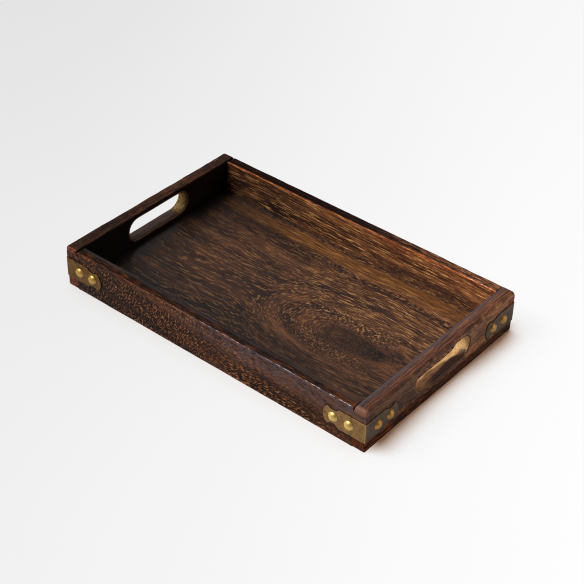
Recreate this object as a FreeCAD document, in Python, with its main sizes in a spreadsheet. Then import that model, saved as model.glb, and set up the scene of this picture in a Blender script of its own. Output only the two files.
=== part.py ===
import FreeCAD, Part
import os

import Sketcher

# A rectangular serving tray in dark wood. Four finger-jointed boards stand around a floor panel that is
# held by a tongue in their grooves. An L-shaped brass strap wraps each corner, and each strap leg is
# fixed with two domed brass nails. A hand slot goes through each end board.
#
# Frame: origin at the centre of the tray's underside, X along its length, Y from front to back, Z up.
# Each board is drawn in its own frame: x along the board, y from its outer face inwards, z up.

DRIVING_SIZES = [
    ("tray_length", 400, "over the outer faces of the two end boards"),
    ("tray_width", 250, "over the outer faces of the two side boards"),
    ("end_height", 50.5, "the end boards stand a little above the side boards"),
    ("side_height", 49, ""),
    ("end_thick", 14.5, ""),
    ("side_thick", 12.5, ""),
    ("finger_height", 10.5, "each board has fingers of this height at the corners"),
    ("finger_top", 44.5, "top of the side boards' upper finger"),
    ("right_corner_round", 4.5, "the right end board's top corners, seen from the end"),
    ("right_outer_round", 3.5, "the right end board's top edge on the outside"),
    ("left_corner_round", 2.5, "the left end board is worn less"),
    ("left_outer_round", 1.8, ""),
    ("top_edge_round", 1.5, "every other top edge"),
    ("corner_round", 1.2, "the upright corners under the straps"),
    ("slot_length", 90, "hand slot, over its round ends"),
    ("slot_height", 25.5, ""),
    ("slot_mid", 31, "height of the slot's centre line"),
    ("slot_rim_round", 1.8, ""),
    ("floor_top", 11, "top of the floor panel"),
    ("floor_thick", 8, ""),
    ("tongue_thick", 4, "the panel's lower half is its tongue"),
    ("tongue_depth", 4, "how far the tongue enters a board"),
    ("tongue_gap", 0.3, "room for the panel to swell"),
    ("strap_thick", 0.9, "brass sheet"),
    ("strap_height", 23, ""),
    ("strap_mid", 24.7, "height of the strap's centre line"),
    ("strap_leg", 50.5, "from the wooden corner to the tip of a leg"),
    ("strap_notch_start", 31.5, "from the corner to the start of the scooped notch"),
    ("strap_notch_round", 8, ""),
    ("strap_horn", 44.5, "from the corner to the two horns beyond the notches"),
    ("strap_horn_half", 11.2, "half the distance between the horns"),
    ("nail_first", 19, "from the corner to the first nail"),
    ("nail_spacing", 19, ""),
    ("nail_head_radius", 5.5, "hollow domed head"),
    ("nail_head_rise", 3.3, ""),
    ("nail_head_wall", 0.6, ""),
    ("nail_shank_radius", 0.9, ""),
    ("nail_shank_length", 10, "from the underside of the head to the tip"),
    ("nail_point_length", 2.5, ""),
]

THROUGH_ALL = 1
SLACK = 0.01  # how far apart, in mm, two places may be and still count as the same
START, END, CENTRE = 1, 2, 3
X_AXIS, Y_AXIS = -1, -2

doc = FreeCAD.newDocument("serving_tray")
sheet = doc.addObject("Spreadsheet::Sheet", "sizes")
for row, (alias, size, note) in enumerate(DRIVING_SIZES, start=1):
    sheet.set("A%d" % row, alias)
    sheet.set("B%d" % row, str(size))
    sheet.setAlias("B%d" % row, alias)
    sheet.set("C%d" % row, note)
doc.recompute()


# ---- helpers for sketches and features -------------------------------------------------------------

def new_body(label):
    body = doc.addObject("PartDesign::Body", label)
    body.Label = label
    body.AllowCompound = True
    return body


def origin_plane(body, role):
    return next(plane for plane in body.Origin.OriginFeatures if plane.Role == role)


def new_sketch(body, name, role):
    sketch = body.newObject("Sketcher::SketchObject", name)
    sketch.AttachmentSupport = (origin_plane(body, role), [""])
    sketch.MapMode = "FlatFace"
    return sketch


def measure(sketch, kind, places, expression):
    """Adds a driving dimension to the sketch and binds it to the sheet."""
    size = float(sketch.evalExpression(expression))
    index = sketch.addConstraint(Sketcher.Constraint(kind, *places, size))
    sketch.setExpression("Constraints[%d]" % index, expression)


def relate(sketch, kind, *places):
    sketch.addConstraint(Sketcher.Constraint(kind, *places))


def add_line(sketch, start, end):
    return sketch.addGeometry(Part.LineSegment(FreeCAD.Vector(*start, 0), FreeCAD.Vector(*end, 0)), False)


def add_arc(sketch, start, middle, end):
    """An arc through three points, always stored anticlockwise as the sketcher wants it."""
    corners = [FreeCAD.Vector(*point, 0) for point in (start, middle, end)]
    turn = (corners[1] - corners[0]).cross(corners[2] - corners[0]).z
    if turn < 0:
        corners.reverse()
    return sketch.addGeometry(Part.Arc(*corners), False)


def add_rectangle(sketch, left, low, width, height):
    """left None centres it on the sketch's y axis, and low None stands it on the x axis."""
    wide = float(sketch.evalExpression(width))
    high = float(sketch.evalExpression(height))
    x = -wide / 2 if left is None else float(sketch.evalExpression(left))
    y = 0 if low is None else float(sketch.evalExpression(low))
    corners = [(x, y), (x + wide, y), (x + wide, y + high), (x, y + high)]
    bottom, right, top, left_side = [
        add_line(sketch, corners[i], corners[(i + 1) % len(corners)]) for i in range(len(corners))
    ]
    sides = [bottom, right, top, left_side]
    for i, side in enumerate(sides):
        relate(sketch, "Coincident", side, END, sides[(i + 1) % len(sides)], START)
    relate(sketch, "Horizontal", top)
    for side in (right, left_side):
        relate(sketch, "Vertical", side)
    measure(sketch, "DistanceX", (bottom, START, bottom, END), width)
    measure(sketch, "DistanceY", (right, START, right, END), height)
    if left is None:
        relate(sketch, "Symmetric", bottom, START, bottom, END, Y_AXIS)
    else:
        relate(sketch, "Horizontal", bottom)
        measure(sketch, "DistanceX", (bottom, START), left)
    if low is None:
        relate(sketch, "PointOnObject", bottom, START, X_AXIS)
    else:
        measure(sketch, "DistanceY", (bottom, START), low)


def add_circle(sketch, x, radius, y=None):
    """y None puts the centre on the sketch's x axis."""
    centre = FreeCAD.Vector(float(sketch.evalExpression(x)), 0, 0)
    if y is not None:
        centre.y = float(sketch.evalExpression(y))
    size = float(sketch.evalExpression(radius))
    circle = sketch.addGeometry(Part.Circle(centre, FreeCAD.Vector(0, 0, 1), size), False)
    measure(sketch, "Radius", (circle,), radius)
    measure(sketch, "DistanceX", (circle, CENTRE), x)
    if y is None:
        relate(sketch, "PointOnObject", circle, CENTRE, X_AXIS)
    else:
        measure(sketch, "DistanceY", (circle, CENTRE), y)


def add_pad(body, sketch, length, inwards=False):
    pad = body.newObject("PartDesign::Pad", sketch.Name + "_pad")
    pad.Profile = sketch
    pad.setExpression("Length", length)
    pad.Reversed = inwards
    doc.recompute()
    return pad


def add_pocket(body, sketch, depth=None, outwards=False):
    """Cuts through everything when no depth is given, and fails loudly when it removes nothing."""
    before = body.Shape.Volume
    pocket = body.newObject("PartDesign::Pocket", sketch.Name + "_pocket")
    pocket.Profile = sketch
    pocket.Reversed = outwards
    if depth is None:
        pocket.Type = THROUGH_ALL
    else:
        pocket.setExpression("Length", depth)
    doc.recompute()
    if not body.Shape.Volume < before:
        raise RuntimeError(sketch.Name + " removes nothing from " + body.Label)
    return pocket


def mirror_ends(body, features):
    """Repeats the features of the board's +x end at its other end."""
    mirrored = body.newObject("PartDesign::Mirrored", body.Name + "_mirrored")
    mirrored.Originals = features
    mirrored.MirrorPlane = (origin_plane(body, "YZ_Plane"), [""])
    body.Tip = mirrored
    doc.recompute()


def round_edges(body, name, radius, wanted):
    """Rounds every edge of the body whose middle point passes the test wanted(point, direction)."""
    base = body.Tip
    names = []
    for number, edge in enumerate(base.Shape.Edges, start=1):
        halfway = (edge.FirstParameter + edge.LastParameter) / 2
        if wanted(edge.valueAt(halfway), edge.tangentAt(halfway)):
            names.append("Edge%d" % number)
    if not names:
        raise RuntimeError(name + " finds no edge on " + body.Label)
    fillet = body.newObject("PartDesign::Fillet", body.Name + "_" + name)
    fillet.Base = (base, names)
    fillet.setExpression("Radius", radius)
    doc.recompute()


def near(first, second):
    return abs(first - second) < SLACK


def size_of(expression):
    return float(sheet.evalExpression(expression))


def put(body, x, y, z, rotation):
    """Places a piece in the tray, with its position bound to the sheet."""
    body.Placement = FreeCAD.Placement(FreeCAD.Vector(), rotation)
    body.setExpression("Placement.Base.x", x)
    body.setExpression("Placement.Base.y", y)
    body.setExpression("Placement.Base.z", z)


def turn_about_z(degrees):
    return FreeCAD.Rotation(FreeCAD.Vector(0, 0, 1), degrees)


# ---- boards ----------------------------------------------------------------------------------------

def add_blank(body, length, height, thick):
    sketch = new_sketch(body, body.Name + "_blank", "XZ_Plane")
    add_rectangle(sketch, None, None, length, height)
    return add_pad(body, sketch, thick, inwards=True)


def add_floor_groove(body, length, thick):
    """The groove for the floor's tongue, in the board's inner face."""
    sketch = new_sketch(body, body.Name + "_groove", "XZ_Plane")
    sketch.setExpression("AttachmentOffset.Base.z", "-" + thick)
    add_rectangle(sketch, None, "sizes.floor_top - sizes.floor_thick", length, "sizes.tongue_thick")
    add_pocket(body, sketch, "sizes.tongue_depth + sizes.tongue_gap", outwards=True)


def add_nail_holes(body, length):
    """Blind holes for the two nails of the strap leg at the board's +x end."""
    sketch = new_sketch(body, body.Name + "_nail_holes", "XZ_Plane")
    for step in (0, 1):
        place = "%s / 2 - sizes.nail_first - %d * sizes.nail_spacing" % (length, step)
        add_circle(sketch, place, "sizes.nail_shank_radius", y="sizes.strap_mid")
    return add_pocket(body, sketch, "sizes.nail_shank_length - sizes.strap_thick")


def make_side_board(label):
    """A long board. Two fingers at each end pass through the end boards."""
    body = new_body(label)
    length = "sizes.tray_length"
    add_blank(body, length, "sizes.side_height", "sizes.side_thick")
    shoulder = "sizes.tray_length / 2 - sizes.end_thick"
    lower_finger_low = "sizes.finger_top - 3 * sizes.finger_height"
    upper_gap_low = "sizes.finger_top - 2 * sizes.finger_height"
    above_fingers = "sizes.side_height - sizes.finger_top"
    gaps = new_sketch(body, body.Name + "_gaps", "XZ_Plane")
    add_rectangle(gaps, shoulder, None, "sizes.end_thick", lower_finger_low)
    add_rectangle(gaps, shoulder, upper_gap_low, "sizes.end_thick", "sizes.finger_height")
    add_rectangle(gaps, shoulder, "sizes.finger_top", "sizes.end_thick", above_fingers)
    gaps_pocket = add_pocket(body, gaps)
    mirror_ends(body, [gaps_pocket, add_nail_holes(body, length)])
    add_floor_groove(body, "(sizes.tray_length - 2 * sizes.end_thick)", "sizes.side_thick")
    end, top = size_of("sizes.tray_length / 2"), size_of("sizes.side_height")
    round_edges(body, "upright_rounds", "sizes.corner_round",
                lambda p, along: near(abs(p.x), end) and near(p.y, 0) and near(abs(along.z), 1))
    round_edges(body, "top_rounds", "sizes.top_edge_round",
                lambda p, along: near(p.z, top) and near(abs(along.x), 1))
    return body


def add_hand_slot(body):
    """A slot with half-round ends, through the board."""
    sketch = new_sketch(body, body.Name + "_hand_slot", "XZ_Plane")
    radius = size_of("sizes.slot_height / 2")
    reach = size_of("sizes.slot_length / 2") - radius
    mid = size_of("sizes.slot_mid")
    tip = reach + radius
    right = add_arc(sketch, (reach, mid - radius), (tip, mid), (reach, mid + radius))
    left = add_arc(sketch, (-reach, mid + radius), (-tip, mid), (-reach, mid - radius))
    top = add_line(sketch, (reach, mid + radius), (-reach, mid + radius))
    bottom = add_line(sketch, (-reach, mid - radius), (reach, mid - radius))
    for first, second in ((right, top), (top, left), (left, bottom), (bottom, right)):
        relate(sketch, "Tangent", first, END, second, START)
    relate(sketch, "Horizontal", top)
    relate(sketch, "Symmetric", right, CENTRE, left, CENTRE, Y_AXIS)
    measure(sketch, "Radius", (right,), "sizes.slot_height / 2")
    measure(sketch, "DistanceX", (left, CENTRE, right, CENTRE), "sizes.slot_length - sizes.slot_height")
    measure(sketch, "DistanceY", (right, CENTRE), "sizes.slot_mid")
    add_pocket(body, sketch)


def make_end_board(label, corner_round, outer_round):
    """A short board with a hand slot. Its ends have sockets for the side boards' fingers."""
    body = new_body(label)
    width = "sizes.tray_width"
    add_blank(body, width, "sizes.end_height", "sizes.end_thick")
    shoulder = "sizes.tray_width / 2 - sizes.side_thick"
    sockets = new_sketch(body, body.Name + "_sockets", "XZ_Plane")
    for finger in (1, 3):
        low = "sizes.finger_top - %d * sizes.finger_height" % finger
        add_rectangle(sockets, shoulder, low, "sizes.side_thick", "sizes.finger_height")
    sockets_pocket = add_pocket(body, sockets)
    mirror_ends(body, [sockets_pocket, add_nail_holes(body, width)])
    add_floor_groove(body, "(sizes.tray_width - 2 * sizes.side_thick)", "sizes.end_thick")
    add_hand_slot(body)
    end, top = size_of("sizes.tray_width / 2"), size_of("sizes.end_height")
    thick = size_of("sizes.end_thick")
    finger_top = size_of("sizes.finger_top")
    slot_end, slot_mid = size_of("sizes.slot_length / 2"), size_of("sizes.slot_mid")
    slot_half = size_of("sizes.slot_height / 2")
    round_edges(body, "end_rounds", corner_round,
                lambda p, along: near(abs(p.x), end) and near(p.z, top) and near(abs(along.y), 1))
    round_edges(body, "upright_rounds", "sizes.corner_round",
                lambda p, along: near(abs(p.x), end) and near(p.y, 0) and near(abs(along.z), 1)
                and p.z < finger_top)
    round_edges(body, "outer_round", outer_round,
                lambda p, along: near(p.y, 0) and near(p.z, top) and near(abs(along.x), 1))
    round_edges(body, "inner_round", "sizes.top_edge_round",
                lambda p, along: near(p.y, thick) and near(p.z, top) and near(abs(along.x), 1))
    round_edges(body, "slot_rounds", "sizes.slot_rim_round",
                lambda p, along: (near(p.y, 0) or near(p.y, thick)) and abs(p.x) < slot_end + SLACK
                and abs(p.z - slot_mid) < slot_half + SLACK)
    return body


def make_floor_panel(label):
    """A solid panel. Its lower half spreads into a tongue on all four sides, cut away at the corners."""
    body = new_body(label)
    length = "sizes.tray_length - 2 * sizes.end_thick"
    width = "sizes.tray_width - 2 * sizes.side_thick"
    layers = [
        ("panel", length, width, "sizes.floor_thick"),
        ("long_tongue", length, width + " + 2 * sizes.tongue_depth", "sizes.tongue_thick"),
        ("end_tongue", length + " + 2 * sizes.tongue_depth", width, "sizes.tongue_thick"),
    ]
    for name, along, across, thick in layers:
        sketch = new_sketch(body, name, "XY_Plane")
        # The rectangle stands on its sketch's x axis, so the sketch starts at the panel's front edge.
        sketch.setExpression("AttachmentOffset.Base.y", "-(%s) / 2" % across)
        add_rectangle(sketch, None, None, along, across)
        add_pad(body, sketch, thick)
    return body


# ---- brass -----------------------------------------------------------------------------------------

def add_strap_leg(body, name, role, inwards):
    """One leg: a plate with a scooped notch above and below, two horns and a bulging tip."""
    sketch = new_sketch(body, name, role)
    # The plate starts at the outer corner of the bend, one sheet thickness before the wooden corner.
    sketch.setExpression("AttachmentOffset.Base.x", "-sizes.strap_thick")
    half = "sizes.strap_height / 2"
    notch_start = "sizes.strap_notch_start + sizes.strap_thick"
    horn = "sizes.strap_horn + sizes.strap_thick"
    bulge = "(sizes.strap_leg - sizes.strap_horn)"
    tip_radius = "(sizes.strap_horn_half ^ 2 + %s ^ 2) / (2 * %s)" % (bulge, bulge)
    high, notch_x, horn_x = size_of(half), size_of(notch_start), size_of(horn)
    horn_high, tip_x = size_of("sizes.strap_horn_half"), size_of("sizes.strap_leg + sizes.strap_thick")
    notch_radius = size_of("sizes.strap_notch_round")
    scoop_depth = notch_radius - (notch_radius ** 2 - ((horn_x - notch_x) / 2) ** 2) ** 0.5
    scoop = ((notch_x + horn_x) / 2, horn_high - scoop_depth)
    bottom = add_line(sketch, (0, -high), (notch_x, -high))
    low_notch = add_arc(sketch, (notch_x, -high), (scoop[0], -scoop[1]), (horn_x, -horn_high))
    tip = add_arc(sketch, (horn_x, -horn_high), (tip_x, 0), (horn_x, horn_high))
    high_notch = add_arc(sketch, (horn_x, horn_high), scoop, (notch_x, high))
    top = add_line(sketch, (notch_x, high), (0, high))
    back = add_line(sketch, (0, high), (0, -high))
    relate(sketch, "Coincident", bottom, END, low_notch, END)
    relate(sketch, "Coincident", low_notch, START, tip, START)
    relate(sketch, "Coincident", tip, END, high_notch, END)
    relate(sketch, "Coincident", high_notch, START, top, START)
    relate(sketch, "Coincident", top, END, back, START)
    relate(sketch, "Coincident", back, END, bottom, START)
    relate(sketch, "Horizontal", top)
    relate(sketch, "PointOnObject", back, START, Y_AXIS)
    relate(sketch, "PointOnObject", tip, CENTRE, X_AXIS)
    relate(sketch, "Symmetric", back, START, back, END, X_AXIS)
    relate(sketch, "Symmetric", top, START, bottom, END, X_AXIS)
    relate(sketch, "Equal", low_notch, high_notch)
    measure(sketch, "DistanceY", (back, END, back, START), "sizes.strap_height")
    measure(sketch, "DistanceX", (top, START), notch_start)
    measure(sketch, "DistanceX", (tip, END), horn)
    measure(sketch, "DistanceY", (tip, END), "sizes.strap_horn_half")
    measure(sketch, "DistanceY", (tip, START, tip, END), "2 * sizes.strap_horn_half")
    measure(sketch, "Radius", (tip,), tip_radius)
    measure(sketch, "Radius", (high_notch,), "sizes.strap_notch_round")
    for step in (0, 1):
        place = "sizes.nail_first + sizes.strap_thick + %d * sizes.nail_spacing" % step
        add_circle(sketch, place, "sizes.nail_shank_radius")
    add_pad(body, sketch, "sizes.strap_thick", inwards)


def make_corner_strap(label):
    """Two equal legs at a right angle, along local +x and +y, outside the wooden corner at the origin."""
    body = new_body(label)
    add_strap_leg(body, body.Name + "_leg_x", "XZ_Plane", inwards=False)
    add_strap_leg(body, body.Name + "_leg_y", "YZ_Plane", inwards=True)
    outside = -size_of("sizes.strap_thick")
    round_edges(body, "inner_bend", "sizes.corner_round",
                lambda p, along: near(p.x, 0) and near(p.y, 0) and near(abs(along.z), 1))
    round_edges(body, "outer_bend", "sizes.corner_round + sizes.strap_thick",
                lambda p, along: near(p.x, outside) and near(p.y, outside) and near(abs(along.z), 1))
    return body


def make_leg_nails(label):
    """The two nails of one strap leg: the first at the origin, its head outwards along local +z."""
    body = new_body(label)
    sketch = new_sketch(body, body.Name + "_profile", "XZ_Plane")
    dome_radius = "(sizes.nail_head_radius ^ 2 + sizes.nail_head_rise ^ 2) / (2 * sizes.nail_head_rise)"
    dome, wall = size_of(dome_radius), size_of("sizes.nail_head_wall")
    head, rise = size_of("sizes.nail_head_radius"), size_of("sizes.nail_head_rise")
    shank, depth = size_of("sizes.nail_shank_radius"), size_of("sizes.nail_shank_length")
    point = size_of("sizes.nail_point_length")
    inner = dome - wall
    centre = rise - dome
    rim = (inner ** 2 - centre ** 2) ** 0.5
    root = centre + (inner ** 2 - shank ** 2) ** 0.5
    outer_middle = (head / 2, centre + (dome ** 2 - head ** 2 / 4) ** 0.5)
    inner_middle = (head / 2, centre + (inner ** 2 - head ** 2 / 4) ** 0.5)
    outer_arc = add_arc(sketch, (head, 0), outer_middle, (0, rise))
    axis = add_line(sketch, (0, rise), (0, -depth))
    taper = add_line(sketch, (0, -depth), (shank, point - depth))
    shank_side = add_line(sketch, (shank, point - depth), (shank, root))
    inner_arc = add_arc(sketch, (rim, 0), inner_middle, (shank, root))
    rim_face = add_line(sketch, (rim, 0), (head, 0))
    relate(sketch, "Coincident", outer_arc, END, axis, START)
    relate(sketch, "Coincident", axis, END, taper, START)
    relate(sketch, "Coincident", taper, END, shank_side, START)
    relate(sketch, "Coincident", shank_side, END, inner_arc, END)
    relate(sketch, "Coincident", inner_arc, START, rim_face, START)
    relate(sketch, "Coincident", rim_face, END, outer_arc, START)
    relate(sketch, "Vertical", shank_side)
    relate(sketch, "PointOnObject", axis, START, Y_AXIS)
    relate(sketch, "PointOnObject", axis, END, Y_AXIS)
    relate(sketch, "PointOnObject", outer_arc, CENTRE, Y_AXIS)
    relate(sketch, "Coincident", outer_arc, CENTRE, inner_arc, CENTRE)
    relate(sketch, "PointOnObject", rim_face, START, X_AXIS)
    relate(sketch, "PointOnObject", rim_face, END, X_AXIS)
    measure(sketch, "DistanceX", (rim_face, END), "sizes.nail_head_radius")
    measure(sketch, "Radius", (outer_arc,), dome_radius)
    measure(sketch, "Radius", (inner_arc,), "%s - sizes.nail_head_wall" % dome_radius)
    measure(sketch, "DistanceX", (shank_side, START), "sizes.nail_shank_radius")
    measure(sketch, "DistanceY", (axis, END, taper, END), "sizes.nail_point_length")
    measure(sketch, "DistanceY", (axis, END, rim_face, START), "sizes.nail_shank_length")
    nail = body.newObject("PartDesign::Revolution", body.Name + "_nail")
    nail.Profile = sketch
    nail.ReferenceAxis = (sketch, ["V_Axis"])
    nail.Angle = 360
    doc.recompute()
    pair = body.newObject("PartDesign::LinearPattern", body.Name + "_pair")
    pair.Originals = [nail]
    pair.Direction = (sketch, ["H_Axis"])
    pair.Occurrences = 2
    pair.setExpression("Length", "sizes.nail_spacing")
    body.Tip = pair
    doc.recompute()
    return body


# ---- assembly --------------------------------------------------------------------------------------

HALF_LENGTH = "sizes.tray_length / 2"
HALF_WIDTH = "sizes.tray_width / 2"
ON_TABLE = "0"

front_side_board = make_side_board("front_side_board")
put(front_side_board, "0", "-" + HALF_WIDTH, ON_TABLE, turn_about_z(0))
back_side_board = make_side_board("back_side_board")
put(back_side_board, "0", HALF_WIDTH, ON_TABLE, turn_about_z(180))
right_end_board = make_end_board("right_end_board", "sizes.right_corner_round", "sizes.right_outer_round")
put(right_end_board, HALF_LENGTH, "0", ON_TABLE, turn_about_z(90))
left_end_board = make_end_board("left_end_board", "sizes.left_corner_round", "sizes.left_outer_round")
put(left_end_board, "-" + HALF_LENGTH, "0", ON_TABLE, turn_about_z(270))
floor_panel = make_floor_panel("floor_panel")
put(floor_panel, "0", "0", "sizes.floor_top - sizes.floor_thick", turn_about_z(0))

subparts = [front_side_board, back_side_board, right_end_board, left_end_board, floor_panel]

# Anticlockwise round the tray, and each strap is the one before turned by a quarter.
# The x leg of a strap lies on a side board at the first and third corners, on an end board at the others.
CORNERS = [
    ("front_left", "-" + HALF_LENGTH, "-" + HALF_WIDTH, ("side", "end")),
    ("front_right", HALF_LENGTH, "-" + HALF_WIDTH, ("end", "side")),
    ("back_right", HALF_LENGTH, HALF_WIDTH, ("side", "end")),
    ("back_left", "-" + HALF_LENGTH, HALF_WIDTH, ("end", "side")),
]


def quarter_turned(x, y, quarters):
    """The expressions of a point turned about the origin by a number of quarter turns."""
    for _ in range(quarters):
        x, y = "-(%s)" % y, x
    return x, y


HEAD_OUT_OF_X_LEG = FreeCAD.Rotation(FreeCAD.Vector(1, 0, 0), 90)
HEAD_OUT_OF_Y_LEG = turn_about_z(90).multiply(FreeCAD.Rotation(FreeCAD.Vector(1, 0, 0), -90))

for quarters, (corner, corner_x, corner_y, leg_boards) in enumerate(CORNERS):
    turn = turn_about_z(90 * quarters)
    strap = make_corner_strap(corner + "_corner_strap")
    put(strap, corner_x, corner_y, "sizes.strap_mid", turn)
    subparts.append(strap)
    legs = [
        (leg_boards[0], "sizes.nail_first", "-sizes.strap_thick", HEAD_OUT_OF_X_LEG),
        (leg_boards[1], "-sizes.strap_thick", "sizes.nail_first", HEAD_OUT_OF_Y_LEG),
    ]
    for board, nail_x, nail_y, head_out in legs:
        nails = make_leg_nails("%s_%s_nails" % (corner, board))
        offset_x, offset_y = quarter_turned(nail_x, nail_y, quarters)
        put(nails, "%s + %s" % (corner_x, offset_x), "%s + %s" % (corner_y, offset_y),
            "sizes.strap_mid", turn.multiply(head_out))
        subparts.append(nails)

doc.recompute()

for item in doc.Objects:
    if "Invalid" in item.State or "Error" in item.State:
        raise RuntimeError(item.Label + " did not recompute: " + ", ".join(item.State))
    if item.TypeId == "Sketcher::SketchObject" and not item.FullyConstrained:
        raise RuntimeError(item.Label + " is a sketch with a size or place left free")
for piece in subparts:
    if piece.Shape.isNull() or not piece.Shape.isValid():
        raise RuntimeError(piece.Label + " has no valid shape")

os.makedirs("parts", exist_ok=True)
for piece in subparts:
    piece.Shape.exportStep("parts/%s.step" % piece.Label)
    print("%-28s solids %d  volume %9.1f mm3" % (piece.Label, len(piece.Shape.Solids), piece.Shape.Volume))
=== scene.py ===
import math

import bmesh
import bpy
from mathutils import Matrix, Vector, noise


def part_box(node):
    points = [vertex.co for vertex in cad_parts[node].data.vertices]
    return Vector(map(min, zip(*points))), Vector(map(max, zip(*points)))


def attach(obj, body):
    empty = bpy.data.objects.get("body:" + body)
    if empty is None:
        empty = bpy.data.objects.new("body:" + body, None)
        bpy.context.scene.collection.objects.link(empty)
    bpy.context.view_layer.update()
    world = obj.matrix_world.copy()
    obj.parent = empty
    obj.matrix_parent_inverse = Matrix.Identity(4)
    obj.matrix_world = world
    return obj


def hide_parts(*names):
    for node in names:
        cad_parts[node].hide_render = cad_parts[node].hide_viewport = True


# Looks for a dark wooden tray with brass corner straps. Lengths are metres in the mesh code, and
# millimetres in the materials.

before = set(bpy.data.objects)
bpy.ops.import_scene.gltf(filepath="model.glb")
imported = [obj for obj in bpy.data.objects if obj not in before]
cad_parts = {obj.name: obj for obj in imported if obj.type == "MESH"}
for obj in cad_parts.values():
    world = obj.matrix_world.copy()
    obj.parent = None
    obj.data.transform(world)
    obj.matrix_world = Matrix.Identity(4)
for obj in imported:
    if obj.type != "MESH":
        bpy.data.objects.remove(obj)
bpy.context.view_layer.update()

MM = 0.001

# -------- sizes, read from the CAD frame where its boxes give them
end_low, end_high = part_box("right_end_board")
side_low, side_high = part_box("back_side_board")
panel_low, panel_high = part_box("floor_panel")
strap_low, strap_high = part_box("front_right_corner_strap")

HALF_LENGTH = end_high.x
HALF_WIDTH = end_high.y
END_HEIGHT = end_high.z
END_THICK = end_high.x - end_low.x
SIDE_HEIGHT = side_high.z
SIDE_THICK = side_high.y - side_low.y
INNER_X = HALF_LENGTH - END_THICK
INNER_Y = HALF_WIDTH - SIDE_THICK
FLOOR_TOP = panel_high.z
FLOOR_UNDER = panel_low.z
TONGUE = panel_high.x - INNER_X
TONGUE_THICK = 4 * MM

FINGER_HEIGHT = 10.5 * MM
FINGER_BOTTOMS = (13 * MM, 34 * MM)

SLOT_HALF = 45 * MM
SLOT_RADIUS = 12.75 * MM
SLOT_MID = 31 * MM
SLOT_RIM = 1.9 * MM

STRAP_THICK = strap_high.x - HALF_LENGTH
STRAP_MID = (strap_low.z + strap_high.z) / 2
STRAP_HALF = (strap_high.z - strap_low.z) / 2
STRAP_LEG = HALF_LENGTH - strap_low.x
STRAP_NOTCH_START = 31.5 * MM
STRAP_NOTCH_RADIUS = 8 * MM
STRAP_HORN = 44.5 * MM
STRAP_HORN_HALF = 11.2 * MM
CORNER_ROUND = 1.2 * MM
NAIL_LENGTH = 10 * MM
NAIL_TAPER = 2.5 * MM

GAP = 0.03 * MM
SHOULDER_GAP = 0.9 * MM
SHOULDER_ROUND = 1.8 * MM
OVER = 2 * MM  # how far a cutter stands out of what it cuts


# -------- mesh helpers
def link(name, data):
    """Puts a mesh, a light or a camera into the scene."""
    made = bpy.data.objects.new(name, data)
    bpy.context.scene.collection.objects.link(made)
    return made


def piece_from(name, bm):
    """Turns a finished bmesh into an object in the scene."""
    bmesh.ops.recalc_face_normals(bm, faces=bm.faces)
    mesh = bpy.data.meshes.new(name)
    bm.to_mesh(mesh)
    bm.free()
    return link(name, mesh)


def skin(bm, rings):
    """Joins closed rings of equal length with quads and caps both ends."""
    rows = [[bm.verts.new(point) for point in ring] for ring in rings]
    count = len(rows[0])
    for near_row, far_row in zip(rows, rows[1:]):
        for i in range(count):
            j = (i + 1) % count
            bm.faces.new((near_row[i], near_row[j], far_row[j], far_row[i]))
    bm.faces.new(rows[0])
    bm.faces.new(rows[-1])


def fill_grid(bm, grid):
    """Quads between neighbouring rows of vertices."""
    for row, next_row in zip(grid, grid[1:]):
        for i in range(len(row) - 1):
            bm.faces.new((row[i], row[i + 1], next_row[i + 1], next_row[i]))


def add_prism(bm, outline, low_v, high_v):
    """A block with this (length, height) outline that runs across a board, used for cutting."""
    skin(bm, [[Vector((u, v, z)) for u, z in outline] for v in (low_v, high_v)])


def rectangle(u1, u2, z1, z2):
    return [(u1, z1), (u2, z1), (u2, z2), (u1, z2)]


def wander(point, wavelength, seed):
    """Smooth noise between about -1 and 1 that is the same on every run."""
    return noise.noise(Vector(point) / wavelength + Vector((seed * 7.3, seed * 3.1, seed * 5.7)))


def arc_radius(half_width, rise):
    """The radius of an arc this wide and this high."""
    return (half_width**2 + rise**2) / (2 * rise)


def rounded_inset(distance, radius):
    """How far a rounded edge sits back, at this distance from the end it rounds."""
    if distance >= radius:
        return 0
    return radius - math.sqrt(max(radius**2 - (radius - distance) ** 2, 0))


def section(low_v, high_v, low_z, high_z, radii, steps):
    """A closed rounded rectangle. radii and corners go outer bottom, inner bottom, inner top, outer top."""
    arc_steps, across_steps, up_steps = steps
    corners = (
        (low_v, low_z, 1, 1, 180),
        (high_v, low_z, -1, 1, 270),
        (high_v, high_z, -1, -1, 0),
        (low_v, high_z, 1, -1, 90),
    )
    points = []
    arcs = []
    for (v, z, to_v, to_z, start), radius in zip(corners, radii):
        turns = [math.radians(start + 90 * i / arc_steps) for i in range(arc_steps + 1)]
        arcs.append([(v + radius * (to_v + math.cos(a)), z + radius * (to_z + math.sin(a))) for a in turns])
    for k, arc in enumerate(arcs):
        points += arc
        v, z = arc[-1]
        next_v, next_z = arcs[(k + 1) % 4][0]
        steps_here = across_steps if k % 2 == 0 else up_steps
        for i in range(1, steps_here):
            t = i / steps_here
            points.append((v * (1 - t) + next_v * t, z * (1 - t) + next_z * t))
    return points


def stations(half, spacing, end_zone):
    """Places along a board: even in the middle, closing up towards each rounded end."""
    end_steps = 7
    closing = [half - end_zone * (1 - math.sin(math.pi / 2 * i / end_steps)) for i in range(end_steps + 1)]
    inner = half - end_zone
    count = int(2 * inner / spacing)
    middle = [-inner + 2 * inner * i / count for i in range(count + 1)]
    return [-s for s in reversed(closing[1:])] + middle + closing[1:]


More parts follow.
